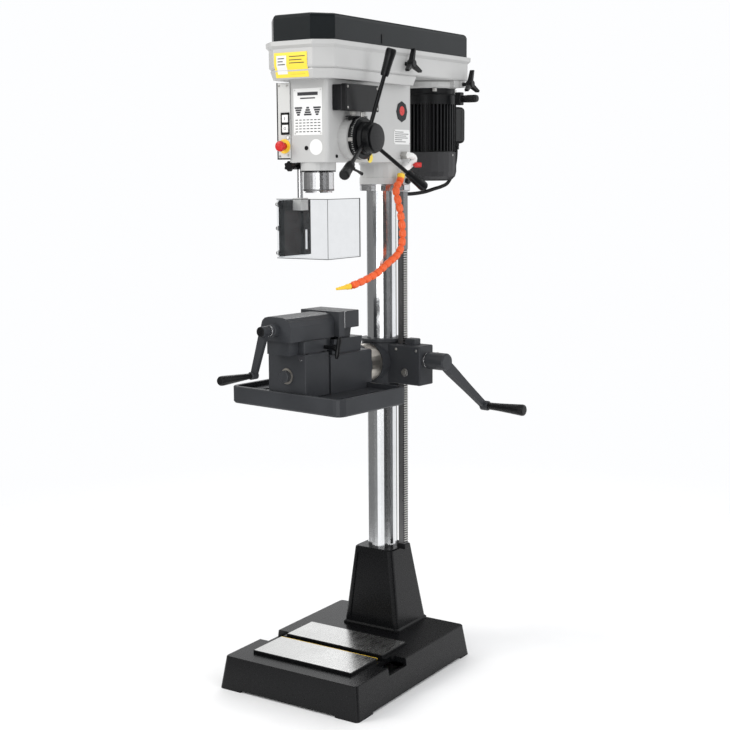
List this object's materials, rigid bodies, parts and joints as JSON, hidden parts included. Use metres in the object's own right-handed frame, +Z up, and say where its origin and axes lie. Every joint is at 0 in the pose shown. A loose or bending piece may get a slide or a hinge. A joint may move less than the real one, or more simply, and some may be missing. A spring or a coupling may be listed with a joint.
{
  "type": "column drill press",
  "caption": "Floor-standing belt-driven column drill press with a cranked table that carries a tilting machine vise, chuck guard, coolant hose and side feed levers.",
  "frame": {"origin": "on the floor, under the column's axis", "axes": "+Z up along the column, -Y towards the operator, +X towards the feed levers at the operator's right"},
  "size_m": [0.5969, 0.9489, 1.684],
  "materials": {
    "black_enamel": "satin",
    "anthracite_paint": "matte",
    "light_grey_paint": "satin",
    "ground_steel": "ground",
    "cast_aluminium": "satin",
    "black_plastic": "satin",
    "white_plastic": "satin",
    "red_plastic": "gloss",
    "yellow_plastic": "satin",
    "orange_plastic": "satin",
    "clear_plastic": "clear",
    "black_rubber": "matte"
  },
  "bodies": {
    "frame": {"base_casting": "black_enamel", "column_foot": "black_enamel", "column_tube": "ground_steel", "head_casting": "light_grey_paint", "belt_box": "light_grey_paint", "junction_box": "black_plastic", "control_panel": "light_grey_paint", "guard_bracket": "black_plastic", "motor_cable": "black_rubber", "coolant_valve": "cast_aluminium", "return_spring_cap": "light_grey_paint", "coolant_hose": "orange_plastic", "coolant_nozzle": "yellow_plastic", "front_belt": "black_rubber", "rear_belt": "black_rubber"},
    "cover": {"belt_cover": "anthracite_paint"},
    "start_push": {"start_button": "white_plastic"},
    "stop_push": {"stop_button": "white_plastic"},
    "estop_push": {"emergency_stop": "red_plastic"},
    "quill": {"quill": "ground_steel"},
    "spindle": {"spindle": "ground_steel"},
    "drive_pulley": {"spindle_pulley": "cast_aluminium"},
    "idler": {"idler_pulley": "cast_aluminium"},
    "rotor": {"motor_rotor": "ground_steel", "motor_pulley": "cast_aluminium"},
    "feed": {"feed_shaft": "ground_steel", "feed_hub": "black_plastic", "feed_lever_1": "black_plastic", "feed_lever_2": "black_plastic", "feed_lever_3": "black_plastic"},
    "depth_stop": {"depth_ring": "black_plastic"},
    "motor": {"motor_body": "black_plastic", "motor_plate": "light_grey_paint", "motor_fan_cover": "black_plastic", "motor_terminal_box": "black_plastic"},
    "knob_side": {"tension_knob_side": "black_plastic"},
    "knob_rear": {"tension_knob_rear": "black_plastic"},
    "tension_arm": {"tension_lever": "black_plastic"},
    "guard_post": {"guard_rod": "cast_aluminium"},
    "guard": {"guard_frame": "black_plastic", "guard_screen": "clear_plastic"},
    "guard_knob": {"guard_clamp_knob": "black_plastic"},
    "valve": {"valve_handle": "red_plastic"},
    "rack_ring": {"column_rack": "ground_steel", "rack_collar_top": "ground_steel"},
    "table_arm": {"table_bracket": "anthracite_paint"},
    "lift_crank": {"lift_worm_shaft": "ground_steel", "lift_crank": "black_plastic"},
    "lift_gear": {"lift_pinion": "ground_steel"},
    "lift_grip": {"lift_crank_grip": "black_plastic"},
    "arm_lock": {"bracket_lock_lever": "black_plastic"},
    "vise": {"trunnion": "ground_steel", "vise_body": "anthracite_paint", "table_plate": "anthracite_paint"},
    "jaw_lock": {"tilt_lock_lever": "black_plastic"},
    "ram": {"vise_ram": "anthracite_paint", "moving_jaw_plate": "anthracite_paint"},
    "screw": {"vise_spindle": "ground_steel", "vise_crank": "black_plastic"},
    "screw_grip": {"vise_crank_grip": "black_plastic"}
  },
  "joints": [
    {"name": "quill_feed", "type": "slide", "parent": "frame", "child": "quill", "axis": [0, 0, -1], "range_m": [0, 0.11]},
    {"name": "feed_lever_turn", "type": "hinge", "parent": "frame", "child": "feed", "pos_m": [0.118, -0.238, 1.395], "axis": [1, 0, 0], "range_deg": [0, 361]},
    {"name": "depth_ring_turn", "type": "hinge", "parent": "frame", "child": "depth_stop", "pos_m": [0.088, -0.238, 1.395], "axis": [1, 0, 0], "range_deg": [-150, 150]},
    {"name": "spindle_pulley_turn", "type": "hinge", "parent": "frame", "child": "drive_pulley", "pos_m": [0, -0.286, 1.501], "axis": [0, 0, 1], "continuous": true},
    {"name": "spindle_turn", "type": "hinge", "parent": "quill", "child": "spindle", "pos_m": [0, -0.286, 1.264], "axis": [0, 0, 1], "continuous": true},
    {"name": "idler_turn", "type": "hinge", "parent": "frame", "child": "idler", "pos_m": [0, -0.022, 1.567], "axis": [0, 0, 1], "continuous": true},
    {"name": "motor_turn", "type": "hinge", "parent": "motor", "child": "rotor", "pos_m": [0, 0.24, 1.302], "axis": [0, 0, 1], "continuous": true},
    {"name": "motor_tension", "type": "slide", "parent": "frame", "child": "motor", "axis": [0, -1, 0], "range_m": [0, 0.01]},
    {"name": "tension_lever_turn", "type": "hinge", "parent": "motor", "child": "tension_arm", "pos_m": [0.101, 0.24, 1.508], "axis": [1, 0, 0], "range_deg": [0, 40]},
    {"name": "tension_knob_side_turn", "type": "hinge", "parent": "frame", "child": "knob_side", "pos_m": [0.097, -0.031, 1.585], "axis": [1, 0, 0], "range_deg": [-180, 180]},
    {"name": "tension_knob_rear_turn", "type": "hinge", "parent": "motor", "child": "knob_rear", "pos_m": [0.101, 0.266, 1.5485], "axis": [1, 0, 0], "range_deg": [-180, 180]},
    {"name": "cover_hinge", "type": "hinge", "parent": "frame", "child": "cover", "pos_m": [-0.0965, 0, 1.6216], "axis": [0, -1, 0], "range_deg": [0, 105]},
    {"name": "start_press", "type": "slide", "parent": "frame", "child": "start_push", "axis": [0, 1, 0], "range_m": [0, 0.002], "stiffness_N_per_m": 800, "springref_m": -0.001},
    {"name": "stop_press", "type": "slide", "parent": "frame", "child": "stop_push", "axis": [0, 1, 0], "range_m": [0, 0.002], "stiffness_N_per_m": 800, "springref_m": -0.001},
    {"name": "emergency_press", "type": "slide", "parent": "frame", "child": "estop_push", "axis": [0, 1, 0], "range_m": [0, 0.005], "stiffness_N_per_m": 900, "springref_m": -0.001},
    {"name": "guard_swing", "type": "hinge", "parent": "frame", "child": "guard_post", "pos_m": [-0.075, -0.26, 1.345], "axis": [0, 0, 1], "range_deg": [-90, 0]},
    {"name": "guard_height", "type": "slide", "parent": "guard_post", "child": "guard", "axis": [0, 0, -1], "range_m": [0, 0.02]},
    {"name": "guard_knob_turn", "type": "hinge", "parent": "frame", "child": "guard_knob", "pos_m": [-0.075, -0.276, 1.329], "axis": [0, 1, 0], "range_deg": [-180, 180]},
    {"name": "coolant_valve_turn", "type": "hinge", "parent": "frame", "child": "valve", "pos_m": [0.097, 0.014, 1.331], "axis": [1, 0, 0], "range_deg": [0, 90]},
    {"name": "table_swing", "type": "hinge", "parent": "frame", "child": "rack_ring", "pos_m": [0, 0, 0.3056], "axis": [0, 0, 1], "range_deg": [0, 50]},
    {"name": "table_lift", "type": "slide", "parent": "rack_ring", "child": "table_arm", "axis": [0, 0, 1], "range_m": [-0.38, 0.045]},
    {"name": "lift_crank_turn", "type": "hinge", "parent": "table_arm", "child": "lift_crank", "pos_m": [0.14898, -0.0175, 0.826], "axis": [0.9932, -0.1167, 0], "range_deg": [-17500, 2100]},
    {"name": "lift_gear_turn", "type": "hinge", "parent": "table_arm", "child": "lift_gear", "pos_m": [0.10006, -0.01175, 0.792], "axis": [0.1167, 0.9932, 0], "range_deg": [-123, 1026]},
    {"name": "lift_grip_spin", "type": "hinge", "parent": "lift_crank", "child": "lift_grip", "pos_m": [0.25668, 0.12793, 0.692], "axis": [0.9932, -0.1167, 0], "continuous": true},
    {"name": "arm_lock_turn", "type": "hinge", "parent": "table_arm", "child": "arm_lock", "pos_m": [-0.01912, 0.0687, 0.811], "axis": [0.9932, -0.1167, 0], "range_deg": [-25, 10]},
    {"name": "table_tilt", "type": "hinge", "parent": "table_arm", "child": "vise", "pos_m": [-0.007, -0.05959, 0.815], "axis": [0.1167, 0.9932, 0], "range_deg": [-45, 45]},
    {"name": "tilt_lock_turn", "type": "hinge", "parent": "vise", "child": "jaw_lock", "pos_m": [0.03545, -0.29817, 0.884], "axis": [0.9932, -0.1167, 0], "range_deg": [-20, 20]},
    {"name": "vise_jaw_slide", "type": "slide", "parent": "vise", "child": "ram", "axis": [0.1167, 0.9932, 0], "range_m": [-0.03, 0]},
    {"name": "vise_screw_turn", "type": "hinge", "parent": "ram", "child": "screw", "pos_m": [-0.04994, -0.42508, 0.934], "axis": [0.1167, 0.9932, 0], "range_deg": [-2160, 0]},
    {"name": "vise_grip_spin", "type": "hinge", "parent": "screw", "child": "screw_grip", "pos_m": [-0.09176, -0.45541, 0.823], "axis": [0.1167, 0.9932, 0], "continuous": true}
  ],
  "couplings": [
    {"joint": "feed_lever_turn", "follows": "quill_feed", "rad_per_m": 57.143},
    {"joint": "spindle_turn", "follows": "spindle_pulley_turn", "ratio": 1},
    {"joint": "idler_turn", "follows": "spindle_pulley_turn", "ratio": 1},
    {"joint": "motor_turn", "follows": "spindle_pulley_turn", "ratio": 2.3846},
    {"joint": "lift_gear_turn", "follows": "table_lift", "rad_per_m": -47.059},
    {"joint": "lift_crank_turn", "follows": "table_lift", "rad_per_m": 800},
    {"joint": "vise_screw_turn", "follows": "vise_jaw_slide", "rad_per_m": 1256.6}
  ]
}
